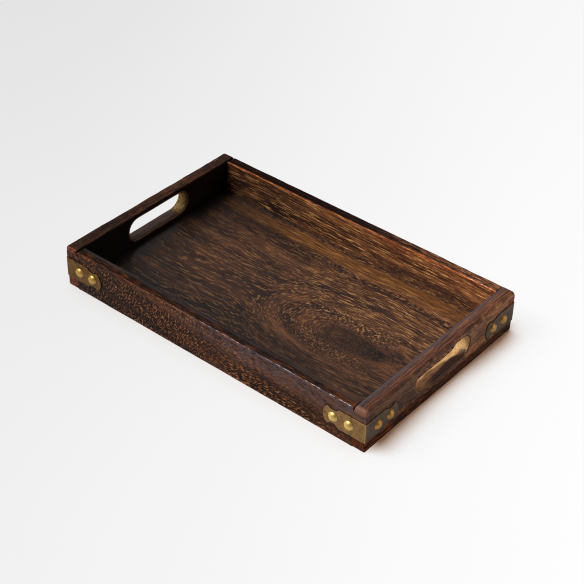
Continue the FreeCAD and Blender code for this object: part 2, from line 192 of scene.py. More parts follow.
def board_blank(bm, length, thick, height, edges, seed):
    """A worn board along x, its outer face at y = 0 and its foot at z = 0, with uneven rounded edges."""
    half = length / 2
    spacing = 2.2 * MM
    least_round = 0.3 * MM
    steps = (6, 6, 22)
    rings = []
    for u in stations(half, spacing, max(*edges["end_tops"], edges["end_side"])):
        spot = (u, 0, 0)
        reach = half - abs(u)
        far = (u + half) / length
        outer_top = edges["outer_tops"][0] * (1 - far) + edges["outer_tops"][1] * far
        radii = []
        for k, size in enumerate((edges["outer_foot"], edges["inner_foot"], edges["inner_top"], outer_top)):
            change = 1 + 0.30 * wander(spot, 23 * MM, seed + k) + 0.22 * wander(spot, 7 * MM, seed + 9 + k)
            radii.append(max(size * change, least_round))
        low_v = rounded_inset(reach, edges["end_side"]) + 0.10 * MM * wander(spot, 75 * MM, seed + 21)
        high_v = thick - rounded_inset(reach, edges["end_inner"])
        foot = rounded_inset(reach, edges["end_foot"])
        end_top = edges["end_tops"][0 if u < 0 else 1]
        top = height - rounded_inset(reach, end_top) + 0.16 * MM * wander(spot, 60 * MM, seed + 20)
        rings.append([Vector((u, v, z)) for v, z in section(low_v, high_v, foot, top, radii, steps)])
    skin(bm, rings)


def roughen(bm, seed):
    """Shallow relief that follows the grain: long low ridges along the board and short ones across it."""
    relief = 0.05 * MM
    stretch = 9
    bm.normal_update()
    moves = []
    for vert in bm.verts:
        p = vert.co.copy()
        p.x /= stretch
        ridge = wander(p, 2.6 * MM, seed) * 0.6 + wander(p, 6 * MM, seed + 1)
        moves.append(vert.normal * relief * ridge)
    for vert, move in zip(bm.verts, moves):
        vert.co += move


def cut(piece, cutter_bm):
    """Takes the cutter away from the piece, exactly, and keeps the result as the piece's mesh."""
    cutter = piece_from(piece.name + "_cutter", cutter_bm)
    change = piece.modifiers.new("cut", "BOOLEAN")
    change.operation = "DIFFERENCE"
    change.solver = "EXACT"
    change.use_self = True
    change.object = cutter
    evaluated = piece.evaluated_get(bpy.context.evaluated_depsgraph_get())
    result = bpy.data.meshes.new_from_object(evaluated)
    piece.modifiers.clear()
    piece.data = result
    bpy.data.objects.remove(cutter)


def finish_piece(piece, material, node, sharp=35):
    """Smooth shading with kept creases, material, and its place in the frame."""
    for face in piece.data.polygons:
        face.use_smooth = True
    piece.data.set_sharp_from_angle(angle=math.radians(sharp))
    weighted = piece.modifiers.new("weighted_normals", "WEIGHTED_NORMAL")
    weighted.keep_sharp = True
    piece.data.materials.clear()
    piece.data.materials.append(material)
    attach(piece, "root")
    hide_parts(node)


# -------- material helpers
def linear(colour):
    """A screen colour, 0 to 255, as the linear values that nodes need. Sockets and RGBA values stay."""
    if not isinstance(colour, tuple) or len(colour) != 3:
        return colour
    parts = [part / 255 for part in colour]
    return (*[c / 12.92 if c <= 0.04045 else ((c + 0.055) / 1.055) ** 2.4 for c in parts], 1)


def operation(kind, swapped=False):
    """A method that adds a Math node of this kind."""
    def method(value, *others):
        values = (*others, value) if swapped else (value, *others)
        return value.graph.math(kind, *values)
    return method


class Value:
    """A number inside a node graph. Arithmetic on it adds Math nodes."""

    def __init__(self, graph, socket):
        self.graph = graph
        self.socket = socket

    __add__ = __radd__ = operation("ADD")
    __sub__ = operation("SUBTRACT")
    __rsub__ = operation("SUBTRACT", swapped=True)
    __mul__ = __rmul__ = operation("MULTIPLY")
    __truediv__ = operation("DIVIDE")
    __abs__ = operation("ABSOLUTE")
    root = operation("SQRT")
    least = operation("MINIMUM")
    most = operation("MAXIMUM")

    def ramp(self, low, high):
        """0 below low, 1 above high, smooth between. low above high turns it round."""
        inputs = {"Value": self, "From Min": low, "From Max": high}
        made = self.graph.node("MapRange", inputs, interpolation_type="SMOOTHSTEP")
        return Value(self.graph, made.outputs[0])


class Graph:
    """The nodes of a material or world. An input may be a number, a node, a socket, a Value, a screen
    colour (red, green, blue) or a linear one (red, green, blue, 1)."""

    def __init__(self, owner):
        owner.use_nodes = True
        self.owner = owner
        self.tree = owner.node_tree
        self.tree.nodes.clear()
        self.place = self.node("TexCoord", {}).outputs

    def node(self, kind, inputs, **settings):
        made = self.tree.nodes.new("ShaderNode" + kind)
        for key, value in settings.items():
            setattr(made, key, value)
        for key, value in inputs.items():
            if isinstance(value, bpy.types.Node):
                value = value.outputs[0]
            elif isinstance(value, Value):
                value = value.socket
            if isinstance(value, bpy.types.NodeSocket):
                self.tree.links.new(value, made.inputs[key])
            else:
                made.inputs[key].default_value = linear(value)
        return made

    def math(self, operation, *values):
        made = self.node("Math", dict(enumerate(values)), operation=operation)
        return Value(self, made.outputs[0])

    def noise(self, x, y, z, seed=0, detail=2, roughness=0.5):
        """Noise between 0 and 1. The coordinates are already divided by the size of its features."""
        spot = self.node("CombineXYZ", {0: x, 1: y, 2: z + seed if seed else z})
        inputs = {"Vector": spot, "Scale": 1, "Detail": detail, "Roughness": roughness}
        return Value(self, self.node("TexNoise", inputs).outputs[0])

    def camera_sees(self):
        """1 where the camera looks straight at this, 0 for its light on other things."""
        return self.node("LightPath", {}).outputs["Is Camera Ray"]

    def blend(self, factor, first, second, mode="MIX"):
        colours = {0: factor, 6: first, 7: second}
        return self.node("Mix", colours, data_type="RGBA", blend_type=mode).outputs[2]

    def layers(self, colour, coats):
        """Lays (mask, colour) coats over a colour, one after another."""
        for mask, coat in coats:
            colour = self.blend(mask, colour, coat)
        return colour

    def colours(self, value, *stops):
        """A colour ramp through (position, colour) stops."""
        made = self.node("ValToRGB", {0: value})
        elements = made.color_ramp.elements
        while len(elements) < len(stops):
            elements.new(0.5)
        for element, (position, colour) in zip(elements, stops):
            element.position = position
            element.color = linear(colour)
        return made.outputs[0]


class Surface(Graph):
    """A new material. x, y and z are the place in mm, and facing is the way the surface points."""

    def __init__(self, name):
        super().__init__(bpy.data.materials.new(name))
        split = self.node("SeparateXYZ", {"Vector": self.place["Object"]})
        self.x, self.y, self.z = (Value(self, out) / MM for out in split.outputs)
        facing = self.node("SeparateXYZ", {"Vector": self.place["Normal"]})
        self.facing = [Value(self, out) for out in facing.outputs]

    def finish(self, colour, roughness, height, relief, **extra):
        """Ends the graph: a Principled surface with a bump of height, which is relief metres tall."""
        bump = self.node("Bump", {"Height": height, "Strength": 1, "Distance": relief})
        inputs = {"Base Color": colour, "Roughness": roughness, "Normal": bump, **extra}
        self.node("OutputMaterial", {"Surface": self.node("BsdfPrincipled", inputs)})
        return self.owner


# -------- wood
SOOT = (18, 10, 8)
INK = (26, 20, 24)
DARK_BROWN = (52, 30, 20)
BROWN = (88, 54, 34)
LIGHT_BROWN = (132, 84, 50)
TAN = (164, 112, 64)
PALE_TAN = (222, 172, 112)
RUST = (130, 62, 26)


def hypotenuse(a, b):
    """The long side of a right triangle with these short sides."""
    return (a * a + b * b).root()


def strap_distance(along_leg, up):
    """Millimetres outside the outline of a strap leg, negative under it."""
    along, rise = along_leg * MM, abs(up * MM - STRAP_MID)
    tip_radius = arc_radius(STRAP_HORN_HALF, STRAP_LEG - STRAP_HORN)
    tip = hypotenuse((along - (STRAP_LEG - tip_radius)).most(0), rise) - tip_radius
    half_chord = (STRAP_HORN - STRAP_NOTCH_START) / 2
    notch_along = STRAP_NOTCH_START + half_chord
    notch_rise = STRAP_HALF + math.sqrt(STRAP_NOTCH_RADIUS**2 - half_chord**2)
    notch = STRAP_NOTCH_RADIUS - hypotenuse(along - notch_along, rise - notch_rise)
    return (rise - STRAP_HALF).most(tip).most(notch) / MM


def edge_distance(g, low, high):
    """Millimetres from a point on a board's skin to the nearest edge of the board's box."""
    axes = zip((g.x, g.y, g.z), low, high)
    a, b, c = [(place - start / MM).least(end / MM - place) for place, start, end in axes]
    return a + b + c - a.least(b).least(c) - a.most(b).most(c)


def bump_at(value, centre, half_width):
    """1 where value is at centre, fading to 0 half_width away."""
    return abs(value - centre).ramp(half_width, half_width * 0.25)


class Board:
    """What a board's looks are made from, in mm: along, the wavy across and up that the grain follows,
    and how far a place is outwards of the inner face, inwards of the outer face and inwards of the tray's
    end or side that the board runs to."""

    def __init__(self, g, grain, seed, wave):
        self.g = g
        self.flecks = None
        if grain == "x":
            self.along, across, sizes = g.x, g.y, (INNER_Y, HALF_WIDTH, HALF_LENGTH)
        else:
            self.along, across, sizes = g.y, g.x, (INNER_X, HALF_LENGTH, HALF_WIDTH)
        inner, outer, end = [size / MM for size in sizes]
        self.from_inside = abs(across) - inner
        self.from_outside = outer - abs(across)
        self.from_end = end - abs(self.along)
        sway = (g.noise(self.along / 80, across / 40, g.z / 40, seed, 1) - 0.5) * wave
        ripple = (g.noise(self.along / 11, across / 8, g.z / 8, seed + 3, 1) - 0.5) * wave
        self.across = across + sway * 12 + ripple * 2.6
        self.up = g.z + sway * 8 + ripple * 1.8


def wood(node, grain, seed, figure, finish, tone, sheen=0.35, polish=None, wave=1,
         streak=14, width=1.25, fleck=TAN, pore=INK, variety=1):
    """Dark stained hardwood: pale dashes and blue-black pores that follow the growth rings.
    figure(board) gives the ring coordinate in mm, then 0 to 1 values for how short the dashes
    are, how plain the wood is, and how light it is. tone(board) darkens or lightens the grain with painted
    light and shade, finish(board) gives the coats laid over it, and polish says where the lacquer is
    glossiest."""
    g = Surface(node.replace("_board", "") + "_wood")
    board = Board(g, grain, seed, wave)
    ring, short, plain, light = figure(board)
    along = board.along
    other = board.across * 0.5 + board.up * 0.5

    dashes = g.noise(along / streak, ring / width, other / 1.3, seed + 5, 1.5, 0.6)
    flecks = board.flecks or g.noise(along / 2.6, ring / 1.35, other / 3, seed + 11, 1, 0.5)
    hairs = g.noise(along / 8, ring / 0.95, other / 3, seed + 17, 1)
    bands = g.noise(along / 170, ring / 9, other / 40, seed + 23, 2)
    clouds = g.noise(along / 45, board.across / 16, board.up / 16, seed + 31, 2)
    mark = dashes * (1 - short) + flecks * short + (hairs - 0.5) * 0.35
    bold = 1 - plain

    ground = ((bands - 0.5) * 1.4 + (clouds - 0.5) * 0.8) * variety + light
    colour = g.colours(ground, (0, SOOT), (0.32, DARK_BROWN), (0.62, BROWN), (1, LIGHT_BROWN))
    end_grain = abs(g.facing[0] if grain == "x" else g.facing[1]).ramp(0.7, 0.95)
    pith = g.noise(g.x / 1.4, g.y / 1.4, g.z / 3.5, seed + 43, 2)
    cut_ends = g.colours(pith, (0.35, (54, 24, 14)), (0.65, (128, 60, 34)))
    colour = g.layers(colour, [
        (mark.ramp(0.49, 0.40) * (0.15 + bold * 0.60), pore),
        (mark.ramp(0.52, 0.61) * (0.08 + bold * 0.55), fleck),
        (mark.ramp(0.60, 0.70) * bold * bold * 0.7, PALE_TAN),
        (end_grain * 0.75, cut_ends),
    ])
    # Painted light and shade from tone(board), multiplied over the grain.
    colour = g.blend(1, colour, tone(board), "MULTIPLY")

    worn = edge_distance(g, *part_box(node)).ramp(3, 0.4)
    patch = g.noise(g.x / 14, g.y / 14, g.z / 6, seed + 51, 2).ramp(0.40, 0.62)
    # Dirt and painted contact shade: a dark ring round the outline of each strap.
    grime_and_shade = strap_distance(board.from_end, g.z).ramp(2, 0.2) * board.from_outside.ramp(0.9, 0.4)
    colour = g.layers(colour, [(worn * patch * 0.5 * (1 - end_grain), RUST), (grime_and_shade * 0.8, SOOT)])
    colour = g.layers(colour, finish(board))
    height = mark * 0.8 + bands * 0.5
    if grain == "y":
        height = height * slot_distance(g).ramp(0.3, 3)
    roughness = 0.34 + clouds * 0.20 + mark.ramp(0.5, 0.38) * 0.15
    extra = {"Specular IOR Level": sheen(board) if callable(sheen) else sheen}
    if polish:
        extra.update({"Coat Weight": polish(board), "Coat Roughness": 0.18})
    return g.finish(colour, roughness, height, 0.18 * MM, **extra)


def leaning_flecks(b, degrees, seed):
    """Short strokes on an upright face, standing at this angle to the board's length."""
    lean = math.radians(degrees)
    up = b.up + b.across * 0.8
    stroke = b.along * math.cos(lean) + up * math.sin(lean)
    beside = up * math.cos(lean) - b.along * math.sin(lean)
    return b.g.noise(stroke / 4.8, beside / 1.6, 0, seed, 1, 0.5)


def front_figure(b):
    """Short strokes in bands that run down to the right, plainer towards the right end."""
    band = b.up + b.along * 0.135
    turn = b.along.ramp(-30, 40)
    b.flecks = leaning_flecks(b, 60, 3) * (1 - turn) + leaning_flecks(b, 14, 7) * turn
    plain = bump_at(band, -1, 5).most(bump_at(band, 32, 6)).most((b.up * 0.9 + b.along * 0.25).ramp(30, 58))
    # Painted light: the wood is made lighter towards the right end and up the face.
    light = 0.26 + b.along.ramp(-200, 120) * 0.24 + b.up.ramp(14, 40) * 0.12
    return band + b.across * 0.4, b.up.ramp(50, 20) * 0.3 + 0.7, plain * 0.55 + 0.25, light


def front_painted_light(b):
    """Painted light and shade: darkest low at the left end."""
    return 0.22 + b.along.ramp(-200, 30) * 0.34 + b.up.ramp(14, 34) * 0.12 + b.along.ramp(60, 180) * 0.10


def facing_up(g):
    return g.facing[2].ramp(0.75, 0.95)


def facing_side(g, axis):
    """1 where the surface looks straight along this axis, either way."""
    return abs(g.facing[axis]).ramp(0.5, 0.9)


def near_top(g, start, full):
    """0 at start mm below a side board's top, 1 at full mm below it."""
    return g.z.ramp(SIDE_HEIGHT / MM - start, SIDE_HEIGHT / MM - full)


def front_finish(b):
    """The top is rubbed grey, with painted sheen, along its inner half and burnt, with orange streaks,
    along its outer half.
    The face has a little grey sheen painted high on the right."""
    g = b.g
    top = facing_up(g)
    # Painted sheen: grey, mottled, high on the right of the face.
    mottle = g.noise(g.x / 5, g.y / 3, g.z / 2.5, 14, 2).ramp(0.34, 0.60)
    sheen_high_right = b.up.ramp(16, 44) * b.along.ramp(-100, 100) * mottle * 0.55
    yield sheen_high_right, (88, 80, 88)
    streak = g.noise(b.along / 16, g.y / 1.3, 0, 4, 2)
    burnt = g.colours(streak, (0.42, SOOT), (0.54, (36, 19, 12)), (0.66, (98, 50, 20)))
    orange = g.colours(streak, (0.40, (28, 14, 8)), (0.50, (104, 52, 20)), (0.62, (188, 108, 40)))
    burnt = g.blend(b.along.ramp(130, 185) * 0.35, burnt, orange)
    yield top * 0.9, burnt
    # Painted sheen over rubbed wood: grey along the inner half of the top.
    grey = b.from_inside.ramp(6, 3.5)
    smear = g.noise(b.along / 40, g.y / 2.5, 0, 5, 2)
    rubbed = g.colours(smear, (0.35, (28, 25, 25)), (0.65, (58, 53, 52)))
    rubbed = g.blend(b.along.ramp(80, 170) * 0.6, rubbed, (84, 62, 54))
    yield top * grey * 0.85, rubbed


def front_polish(b):
    """Glossy lacquer, broken into specks, on the outer top edge towards the right end."""
    g = b.g
    edge = near_top(g, 2.6, 1.6) * b.from_outside.ramp(5, 3)
    specks = g.noise(g.x / 5, g.y / 1.4, g.z / 1.4, 3, 2).ramp(0.50, 0.58)
    return edge * specks * (b.along.ramp(-110, 60) * 0.5 + b.along.ramp(60, 170) * 0.5)


def back_figure(b):
    """Long straight streaks, lighter towards the right end as painted light, and plainer low on the right.
    """
    ring = b.up * 0.9 + b.across * 0.5 + b.along * 0.02
    plain = bump_at(b.up - b.along * 0.03, 17, 6) * b.along.ramp(20, 80) * 0.35 + 0.12
    light = 0.40 + b.along.ramp(-200, 170) * 0.30 + b.up.ramp(30, 46) * 0.10
    return ring, 0.12, plain, light


def back_painted_light(b):
    """Painted light: steadily lighter towards the right end."""
    return 0.80 + b.along.ramp(-200, 160) * 1.18 + b.along.ramp(100, 180) * 0.10


def back_finish(b):
    """The right of the face is greyed low down and reddened high up. The top is sooty with a black line,
    and its inner edge is rubbed through to orange and gold."""
    g = b.g
    mottle = g.noise(b.along / 5, g.z / 1.5, 0, 15, 2)
    patch = bump_at(b.up - b.along * 0.03, 14, 9) * b.along.ramp(-20, 50)
    yield patch * mottle.ramp(0.40, 0.52) * 0.65, (46, 36, 35)
    reddened = b.up.ramp(28, 44) * b.along.ramp(-60, 60)
    yield reddened * mottle.ramp(0.58, 0.44) * 0.55, (104, 44, 20)
    top = facing_up(g)
    right = b.along.ramp(0, 170)
    streak = g.noise(b.along / 14, g.y / 0.8, 0, 4, 2.5)
    sooty = g.colours(streak, (0.42, SOOT), (0.58, (40, 21, 15)), (0.70, (74, 36, 22)))
    rubbed = g.colours(streak, (0.44, (16, 8, 6)), (0.53, (92, 42, 24)), (0.60, (224, 152, 98)))
    yield top * (1 - right * 0.3), g.blend(right, sooty, rubbed)
    waver = (g.noise(b.along / 22, 0, 0, 6) - 0.5) * 2.4
    seam = bump_at(b.from_inside + waver, 4, 1.5)
    yield top * seam * (0.9 - right * 0.3), SOOT
    inner_edge = near_top(g, 2.8, 1.2) * b.from_inside.ramp(1.8, 0.8)
    glow = g.noise(b.along / 12, g.y, g.z, 8, 3, 0.6)
    gold = g.colours(glow, (0.40, (90, 32, 10)), (0.52, (190, 84, 24)), (0.64, (236, 146, 62)))
    yield inner_edge * glow.ramp(0.40, 0.54) * (0.38 + right * 0.57), gold


def back_sheen(b):
    """The sooty left part of the top is the dullest."""
    return 0.12 - facing_up(b.g) * b.along.ramp(40, -60) * 0.09


def back_polish(b):
    """Specks of gloss along the top near the right end."""
    g = b.g
    specks = g.noise(g.x / 3, g.y / 1.4, g.z / 1.4, 5, 2).ramp(0.50, 0.58)
    return near_top(g, 3, 1) * specks * b.along.ramp(90, 180)


def right_figure(b):
    """Streaks along the board, plain in the middle of the face."""
    ring = b.up * 0.8 + b.across * 0.9 + b.along * 0.05
    # The lightening towards the back is painted light.
    return ring, 0.35, b.up.ramp(12, 22) * 0.25 + 0.35, 0.52 + b.along.ramp(-120, 120) * 0.18


def right_painted_light(b):
    """Painted light: the outer face is painted paler than the top, most of all towards the back."""
    face = abs(b.g.facing[0]).ramp(0.6, 0.9)
    return 0.72 + b.along.ramp(-120, 60) * 0.52 + face * (0.30 + b.along.ramp(-60, 60) * 0.52)


def right_sheen(b):
    """The outer face is dull low down."""
    return 0.16 - b.g.z.ramp(20, 10) * 0.13


def right_finish(b):
    """A grey strip by the inner edge, rubbed and with painted sheen, broken dark lines on top, orange
    streaks low on the face with painted shade there, and a painted highlight on the front of the top.
    """
    g = b.g
    top = facing_up(g)
    strip = b.from_inside.ramp(3.8, 2.8) * g.z.ramp(46.5, 48.5)
    yield top * 0.26, (98, 82, 92)
    grain = g.noise(b.along / 34, (g.x + b.along * 0.03) / 1.5, 0, 16, 2)
    yield top * grain.ramp(0.53, 0.64) * (0.15 + b.along.ramp(-100, 60) * 0.35), (164, 104, 62)
    yield top * grain.ramp(0.46, 0.36) * 0.5, (40, 26, 24)
    # Painted sheen over rubbed wood: the grey strip by the inner edge.
    yield strip * 0.85, (84, 76, 80)
    brow = b.from_inside.ramp(0.9, 0.3) * g.z.ramp(42, 47)
    yield brow * 0.8, SOOT
    place = b.from_inside + (g.noise(b.along / 34, 0, 0, 5, 3) - 0.5) * 7
    split = g.noise(b.along / 20, 0, 0, 9, 2)
    yield top * bump_at(place, 10, 2.6) * 0.45, (142, 76, 40)
    yield top * bump_at(place, 9.1, 0.8) * split.ramp(0.36, 0.50) * 0.85, INK
    yield top * bump_at(place, 11.1, 0.6) * split.ramp(0.56, 0.46) * 0.7, DARK_BROWN
    shaded_low_face = g.z.ramp(16, 9) * facing_side(g, 0)
    fire = g.noise(b.along / 20, g.z / 1.5, 0, 7, 2).ramp(0.50, 0.60)
    # Painted shade: the outer face darkened low down, near the floor.
    yield shaded_low_face * 0.86, (30, 14, 9)
    yield shaded_low_face * fire * (0.30 + b.along.ramp(-10, -60) * 0.6), (152, 70, 24)
    # Painted highlight: lighter brown on the rounded front end of the top.
    front_rounding_highlight = g.z.ramp(43, 46) * b.along.ramp(-119.5, -121.5)
    yield front_rounding_highlight * 0.6, (146, 98, 76)
    yield from slot_walls(b, right_slot_paint(b), (54, 36, 30), (98, 64, 44))


def left_figure(b):
    """Fine plain streaks along the board."""
    ring = b.up * 0.8 - b.across * 0.9 + b.along * 0.04
    return ring, 0.2, 0.62, 0.36


def left_painted_light(b):
    """Painted shade over darker wood: darker towards the front."""
    return 0.47 + b.along.ramp(-60, 90) * 0.36


def left_finish(b):
    """Charred inside face, painted near black as shade too, and reddish wood showing on the end faces."""
    g = b.g
    fire = g.noise(g.x / 3, 0, g.z / 2, 18, 2).ramp(0.48, 0.60)
    yield facing_side(g, 1) * fire * 0.6, (150, 64, 26)
    # Char, and painted shade: the inside face nearly black.
    yield b.from_inside.ramp(1, 0.3) * 0.92, (8, 3, 3)
    yield from slot_walls(b, left_slot_paint(b), (58, 36, 26), (140, 94, 62))


def slot_distance(g):
    """Millimetres outside the walls of an end board's hand slot."""
    past = (abs(g.y) - (SLOT_HALF - SLOT_RADIUS) / MM).most(0)
    return hypotenuse(past, g.z - SLOT_MID / MM) - SLOT_RADIUS / MM


def slot_walls(b, paint, rim_dark, rim_light):
    """Paints the walls of the hand slot, and its flared rim in worn brown."""
    g = b.g
    outside = slot_distance(g)
    streak = g.noise(g.y / 12, g.z / 1.2, g.x / 1.2, 2, 2)
    worn = g.colours(streak, (0.35, rim_dark), (0.65, rim_light))
    yield outside.ramp(3.2, 2), worn
    yield outside.ramp(1.1, 0.2), paint


def right_slot_paint(b):
    """Bare pale wood, brightest at the back end, with a browner bottom wall that is scorched outwards."""
    g = b.g
    streak = g.noise(g.x / 1.1, g.y / 10, g.z / 1.1, 8, 2)
    bare = g.colours(streak, (0.30, (182, 134, 82)), (0.65, (240, 196, 134)))
    bare = g.blend(g.y.ramp(20, -10) * 0.5, bare, (146, 97, 60))
    bottom = g.facing[2].ramp(0.50, 0.80)
    wobble = (g.noise(g.x / 14, g.y / 14, 0, 3, 1) - 0.5) * 5
    outward = b.from_inside + wobble
    brown = g.colours(streak, (0.34, (58, 36, 28)), (0.66, (124, 80, 54)))
    inner_strip = outward - g.y.ramp(0, 36) * 5
    bare = g.blend(bottom * inner_strip.ramp(1, 4) * 0.85, bare, brown)
    reach = outward + g.y * 0.12 - g.y.ramp(24, 40) * 8
    scorched = bottom * reach.ramp(5.5, 9.5) * g.y.ramp(-36, -8)
    return g.blend(scorched * 0.93, bare, (44, 26, 24))


def left_slot_paint(b):
    """Dark grey-brown bottom wall, with an olive brown wall at the back end."""
    g = b.g
    streak = g.noise(g.x / 0.9, g.y / 14, g.z / 0.9, 8, 2)
    dark = g.colours(streak, (0.3, (46, 36, 34)), (0.7, (86, 68, 60)))
    speck = g.noise(g.x / 1.8, g.y / 1.8, g.z / 1.8, 12, 3, 0.7)
    olive = g.colours(speck, (0.38, (66, 46, 20)), (0.62, (150, 116, 58)))
    return g.blend(g.y.ramp(30, 36), dark, olive)


def floor_rings(b):
    """Growth rings round a heart low on the right. They close into arches at the left of it, and run
    straight along the board everywhere else."""
    tilt = b.along.ramp(104, 16) * 26 + b.along.ramp(40, -34) * 22 + b.along.ramp(110, 160) * 16
    return hypotenuse(b.across + 13, tilt)


def floor_figure(b):
    """A plain dark heart with arches of short dashes round it, and long dashes elsewhere."""
    ring = floor_rings(b)
    heart = ring.ramp(21, 11)
    arches = ring.ramp(48, 26) * b.along.ramp(-60, -20) * b.along.ramp(150, 112)
    lighter = b.across.ramp(-6, 24) * b.along.ramp(-70, 40)
    # The rise away from the front board is painted shade; the pale patch and the dark heart are figure.
    light = 0.33 + b.across.ramp(-90, 10) * 0.10 + lighter * 0.13 - heart * 0.10
    busy = 0.38 + b.along.ramp(-60, -170) * 0.10 + lighter * 0.44 + arches * 0.10
    return ring, arches * 0.8 + 0.12, 1 - busy * (1 - heart * 0.85), light


def floor_painted_light(b):
    """Painted light and shade: darker towards the left end and the front board, lighter towards the right
    at the back.
    """
    left = 0.30 + b.along.ramp(-190, -60) * 0.70
    front_right = b.along.ramp(40, 160) * b.across.ramp(-20, -60)
    back_right = b.along.ramp(10, 150) * b.across.ramp(-10, 40)
    front = 0.62 + b.across.ramp(-85, -5) * 0.38 + front_right * 0.22
    return left * front * (1 + back_right * 0.28)


def floor_finish(b):
    """A golden band near the back board between broken dark lines, and a ragged left end painted sooty and
    dark as shade.
    """
    g = b.g
    band = bump_at(b.across, 96, 14) * (1 - b.along.ramp(120, 180) * 0.4)
    streak = g.noise(b.along / 26, b.across / 1.9, 0, 6, 2, 0.6)
    gold = g.colours(streak, (0.34, (66, 38, 18)), (0.5, (112, 68, 32)), (0.64, (170, 116, 62)))
    gold = g.blend(b.along.ramp(-20, -170) * 0.75, gold, (42, 24, 12))
    yield band * (0.55 + b.along.ramp(-190, 0) * 0.30), gold
    line = bump_at(b.across + b.along * 0.02, 79, 7).most(bump_at(b.across, 108, 6) * 0.8)
    broken = g.noise(b.along / 5, b.across / 3, 0, 9, 2).ramp(0.46, 0.56)
    yield line * broken * 0.85, INK
    # Soot, and painted shade of the left end board, ragged along the floor's left end.
    ragged = (g.noise(b.along / 9, b.across / 2.5, 0, 12, 2) - 0.5) * 26
    yield (g.x + ragged).ramp(-166, -178) * 0.75, SOOT


def floor_polish(b):
    """The lacquer is glossiest beside the left end board."""
    return b.g.x.ramp(-125, -165) * 0.40


# -------- brass
def brass_marks(g):
    """Clouds, specks and fine scratches."""
    cloud = g.noise(g.x / 9, g.y / 9, g.z / 7, 1, 3, 0.6)
    speck = g.noise(g.x / 1.6, g.y / 1.6, g.z / 1.6, 9, 3, 0.7)
    scratch = g.noise((g.x + g.y) / 12, (g.x - g.y) / 12, g.z / 0.5, 4, 2)
    return cloud, speck, scratch


def aged_brass():
    """The straps: cloudy, greyer on the tray's ends with tarnish and a painted dull reflection, darker
    towards the left as painted shade, and bright on the fold, worn and with a painted highlight.
    """
    g = Surface("strap_aged_brass")
    cloud, speck, scratch = brass_marks(g)
    metal = g.colours(cloud, (0.3, (118, 87, 52)), (0.5, (150, 116, 73)), (0.7, (174, 141, 90)))
    # Tarnish and a painted dull reflection, greyer on the legs that face the tray's ends.
    tarnish_and_reflection = g.colours(cloud, (0.3, (84, 71, 62)), (0.7, (116, 102, 92)))
    colour = g.blend(facing_side(g, 0) * 0.9, metal, tarnish_and_reflection)
    # Painted shade: darker towards the left.
    colour = g.blend(g.x.ramp(-20, -190), colour, (0.46, 0.40, 0.28, 1), "MULTIPLY")
    colour = g.blend(speck.ramp(0.58, 0.75) * 0.5, colour, (58, 44, 30))
    # Worn bright on the fold, and a painted highlight there.
    bend_x = abs(g.x).ramp(HALF_LENGTH / MM - 0.3, HALF_LENGTH / MM + 0.4)
    bend_y = abs(g.y).ramp(HALF_WIDTH / MM - 0.3, HALF_WIDTH / MM + 0.4)
    colour = g.blend(bend_x * bend_y * 0.8, colour, (222, 170, 84))
    roughness = 0.40 + cloud * 0.12 + speck * 0.1
    return g.finish(colour, roughness, scratch + speck, 0.06 * MM, Metallic=1)


def bright_brass():
    """The nail heads: golden, darker and more orange on the tray's ends as a painted warm reflection in
    shade, and darker towards the left as painted shade.
    """
    g = Surface("nail_bright_brass")
    cloud, speck, scratch = brass_marks(g)
    colour = g.colours(cloud, (0.3, (214, 172, 92)), (0.6, (240, 202, 122)))
    # Painted shade: darker towards the left.
    colour = g.blend(g.x.ramp(-20, -190), colour, (0.58, 0.52, 0.38, 1), "MULTIPLY")
    colour = g.blend(speck.ramp(0.60, 0.8) * 0.4, colour, (150, 108, 52))
    # Painted warm reflection in shade: darker orange on the heads that face the tray's ends.
    on_end = abs(g.x).ramp(HALF_LENGTH / MM + 0.5, HALF_LENGTH / MM + 1)
    colour = g.blend(on_end * 0.75, colour, (184, 124, 56))
    return g.finish(colour, 0.40 + speck * 0.10, scratch + speck, 0.02 * MM, Metallic=0.72)


# -------- boards
def to_side(which):
    """Turns a board's own frame into place: 0 front, 1 right, 2 back, 3 left."""
    reach = HALF_WIDTH if which % 2 == 0 else HALF_LENGTH
    turn = Matrix.Rotation(math.pi / 2 * which, 4, "Z")
    return turn @ Matrix.Translation((0, -reach, 0))


def slot_cutter(bm):
    """A rounded hand slot that flares unevenly at both faces of the board."""
    rim_steps, arc_steps = 7, 24
    turns = [math.pi / 2 * i / rim_steps for i in range(rim_steps + 1)]
    depths = [-OVER] + [SLOT_RIM * (1 - math.cos(turn)) for turn in turns]
    depths += [END_THICK - depth for depth in reversed(depths)]
    flat = SLOT_HALF - SLOT_RADIUS
    rings = []
    for depth in depths:
        flare = rounded_inset(min(max(depth, 0), max(END_THICK - depth, 0)), SLOT_RIM)

        def radius(spot, seed):
            return SLOT_RADIUS + flare * (1 + 0.35 * wander(spot, 12 * MM, seed))

        ring = []
        for end in (1, -1):
            for i in range(arc_steps + 1):
                turn = math.radians(180 * i / arc_steps - 90 * end)
                outward = Vector((math.cos(turn), 0, math.sin(turn)))
                reach = radius((end * 30 * MM, depth * 0.2, turn * 10 * MM), 4)
                ring.append(Vector((end * flat, depth, SLOT_MID)) + outward * reach)
            for i in range(1, arc_steps):
                t = i / arc_steps
                z = SLOT_MID + end * radius((t * 60 * MM * end, 0, 0), 6)
                ring.append(Vector((end * flat * (1 - 2 * t), depth, z)))
        rings.append(ring)
    skin(bm, rings)


def groove_outline(reach):
    """The floor panel's groove, seen from inside the tray."""
    return rectangle(-reach, reach, FLOOR_UNDER - GAP, FLOOR_UNDER + TONGUE_THICK + GAP)


